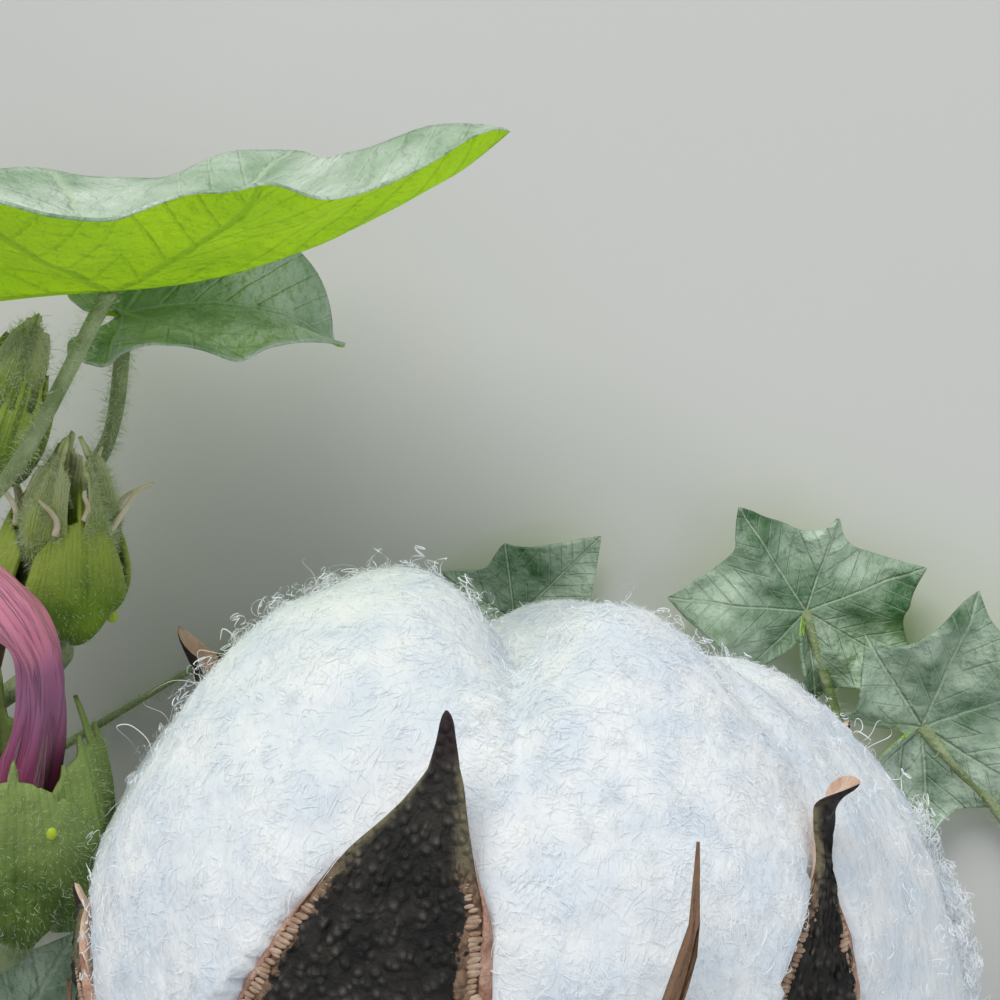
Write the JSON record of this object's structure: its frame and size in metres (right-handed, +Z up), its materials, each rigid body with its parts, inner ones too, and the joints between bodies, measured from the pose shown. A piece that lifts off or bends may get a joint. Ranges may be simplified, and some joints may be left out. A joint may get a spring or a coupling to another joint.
{
  "type": "cotton branch with open boll",
  "caption": "Cut fruiting branch of cotton lying on its side, with one open boll of white lint, a wilted pink flower, green buds and lobed leaves.",
  "frame": {"origin": "on the ground, under the middle of the branch's footprint", "axes": "+Z up from the ground, +Y along the boll's axis from its stalk to its tip, +X to the right as the boll is seen from above"},
  "size_m": [0.1389, 0.1774, 0.0784],
  "materials": {
    "lint": "matte",
    "bur": "matte",
    "dry_bract": "matte",
    "bark": "matte",
    "green_stalk": "satin",
    "green_bract": "satin",
    "petal": "satin",
    "leaf": "satin"
  },
  "bodies": {
    "root": {"stem": "bark", "boll_stalk": "bark", "boll_receptacle": "bark", "boll_valve_front": "bur", "boll_valve_right": "bur", "boll_valve_under": "bur", "boll_valve_back": "bur", "boll_valve_left": "bur", "lint_lock_left_front": "lint", "lint_lock_middle": "lint", "lint_lock_right": "lint", "lint_lock_under": "lint", "lint_lock_left_back": "lint", "boll_bract_front": "dry_bract", "boll_bract_under": "dry_bract", "boll_bract_left": "dry_bract", "flower_stalk": "green_stalk", "flower_calyx": "green_bract", "flower_corolla": "petal", "flower_bract_1": "green_bract", "flower_bract_2": "green_bract", "flower_bract_3": "green_bract", "bud_lower_stalk": "green_stalk", "bud_lower": "green_bract", "bud_upper_stalk": "green_stalk", "bud_upper": "green_bract", "leaf_upper_left": "leaf", "leaf_drooping": "leaf", "leaf_lower_left": "leaf", "leaf_behind_boll": "leaf", "leaf_right_upper": "leaf", "leaf_right_lower": "leaf"}
  },
  "joints": []
}
